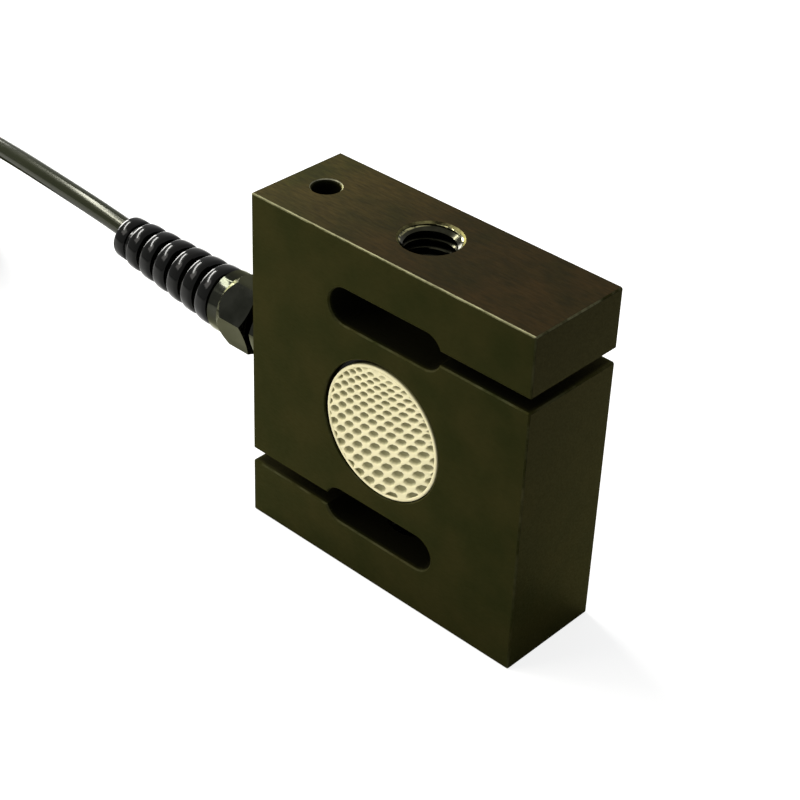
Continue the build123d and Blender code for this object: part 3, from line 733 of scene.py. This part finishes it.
relief_outline += [(4.2, collar_end - collar_length), (4.55, collar_end - 3.4), (4.75, collar_end - 3.1),
                   (4.75, collar_end - 0.9), (4.62, collar_end - 0.45), (4.3, collar_end - 0.12),
                   (3.95, collar_end), (3.7, collar_end - 0.05), (3.6, collar_end - 0.2),
                   (3.6, nose_end + 1.5), (3.2, nose_end)]
relief = turned_ring("bend_relief_sleeve", relief_outline, around=112)
root = turned_ring("root", [(3.2, 14.6), (5.8, 14.6), (5.8, 16.2), (4.95, 16.2), (4.95, nose_end + 1.3),
                            (3.2, nose_end + 1.3)])
tilt = (Matrix.Translation((0, 0, relief_pivot * mm)) @ Matrix.Rotation(relief_tilt, 4, "Y")
        @ Matrix.Translation((0, 0, -relief_pivot * mm)))
put(relief, tilt)
nothing_selected()
root.select_set(True)
relief.select_set(True)
bpy.context.view_layer.objects.active = relief
bpy.ops.object.join()
put(relief, on_gland)
smooth(relief, 50)
relief_rubber, _, _ = new_finish(
    "relief_rubber", (0.0006, 0.0008, 0.0003), (0.0012, 0.0013, 0.0006), 0.13, spread=0.05, specular=0.15,
    blotches=150.0, grain=1200.0, bump=0.04, bump_height=0.02)
paint(relief, relief_rubber)
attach(relief, "root")
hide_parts("bend_relief")


# Cable: four screened cores in one round dark jacket, 3 m of it. It leaves the relief, runs out level past the
# edge of the view, and the rest lies on the floor in a hank folded in line with the block.
cable_radius = 2.2
relief_mouth = (-0.0869, 0.0, 0.04075)
cable_points = [relief_mouth, (-0.095, 0.0, 0.04166), (-0.109, 0.0001, 0.0426), (-0.129, 0.0006, 0.0434),
                (-0.151, 0.002, 0.0425), (-0.170, 0.0036, 0.0400), (-0.187, 0.0052, 0.0356),
                (-0.2000, 0.0062, 0.0305)]
hank_near = -0.173
hank_far = -0.239
hank_waist = -0.206
hank_turns = 6
crossing = 0.006
lobe_points = 6
lobe_step = 38.4
outer_fold, outer_waist = 0.01863, 0.00565
inner_fold, inner_waist = 0.01398, 0.0019


def hank_turn(fold, half_waist, height):
    """Control points of one turn of the hank, from one crossing of the waist to the next."""
    points = []
    for centre, first_angle, side in ((hank_far, 84.0, 1), (hank_near, -96.0, -1)):
        points.append((hank_waist - side * crossing, side * half_waist, "waist"))
        for step in range(lobe_points):
            angle = math.radians(first_angle + lobe_step * step)
            points.append((centre + fold * math.cos(angle), fold * math.sin(angle), "lobe"))
        points.append((hank_waist - side * crossing, -side * half_waist, "waist"))
    placed = []
    for k, (x, y, kind) in enumerate(points):
        tier = height(k / len(points))
        placed.append((x, y, 0.00315 + 0.00438 * tier if kind == "waist" else 0.0022 + 0.0047 * tier))
    return placed


for turn in range(hank_turns):
    cable_points += hank_turn(outer_fold, outer_waist, lambda part, turn=turn: hank_turns - turn - part)
for turn in range(hank_turns):
    cable_points += hank_turn(inner_fold, inner_waist, lambda part, turn=turn: turn + part)
cable_points += [(-0.2020, 0.0020, 0.0296), (-0.2108, 0.0032, 0.0299), (-0.218, 0.0050, 0.0323),
                 (-0.2265, 0.0080, 0.0348), (-0.236, 0.0120, 0.03545)]
cable_curve = bpy.data.curves.new("signal_cable", "CURVE")
cable_curve.dimensions = "3D"
cable_curve.bevel_depth = cable_radius * mm
cable_curve.bevel_resolution = 5
cable_curve.use_fill_caps = True
cable_curve.resolution_u = 6
line = cable_curve.splines.new("NURBS")
line.points.add(len(cable_points) - 1)
for point, place in zip(line.points, cable_points):
    point.co = (*place, 1)
line.order_u = 3
line.use_endpoint_u = True
cable = bpy.data.objects.new("signal_cable", cable_curve)
bpy.context.scene.collection.objects.link(cable)
jacket, _, jacket_shader = new_finish(
    "cable_jacket", (0.007, 0.009, 0.002), (0.012, 0.014, 0.004), 0.17, spread=0.05, specular=0.2,
    blotches=120.0, grain=900.0, bump=0.02, bump_height=0.02)
jacket_shader.inputs["Specular Tint"].default_value = (1.0, 1.0, 0.8, 1)
cable_curve.materials.append(jacket)
dress("cable_entry", jacket)


# Tie, sleeve and stripped end: a black nylon band holds the hank at its waist, and a shrunk sleeve covers the
# cut jacket, from which the four tinned cores and the drain wire come out for the amplifier's terminals.
tie_nylon, _, _ = new_finish("tie_nylon", (0.012, 0.012, 0.012), (0.018, 0.018, 0.018), 0.35, specular=0.35,
                             blotches=300.0)
dress("hank_tie", tie_nylon)
sleeve_black, _, _ = new_finish("sleeve_black", (0.01, 0.01, 0.01), (0.018, 0.018, 0.018), 0.45, specular=0.35,
                                blotches=300.0)
dress("end_sleeve", sleeve_black)
core_colours = {
    "red": ((0.55, 0.02, 0.015), (0.48, 0.015, 0.012)),
    "green": ((0.02, 0.25, 0.06), (0.016, 0.20, 0.05)),
    "white": ((0.80, 0.78, 0.74), (0.72, 0.70, 0.66)),
    "black": ((0.012, 0.012, 0.012), (0.018, 0.018, 0.018)),
}
for name, (colour, second) in core_colours.items():
    core_finish, _, _ = new_finish("core_" + name, colour, second, 0.4, specular=0.4, blotches=400.0)
    dress("lead_" + name, core_finish)
    dress("tail_" + name, core_finish)
tinned, _, _ = new_finish("tinned_copper", (0.62, 0.60, 0.56), (0.50, 0.48, 0.44), 0.35, metallic=1.0,
                          specular=0.5, blotches=500.0)
dress("tail_shield", tinned)

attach(cable, "root")
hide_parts("cable", "cable_hank", "cable_tail")
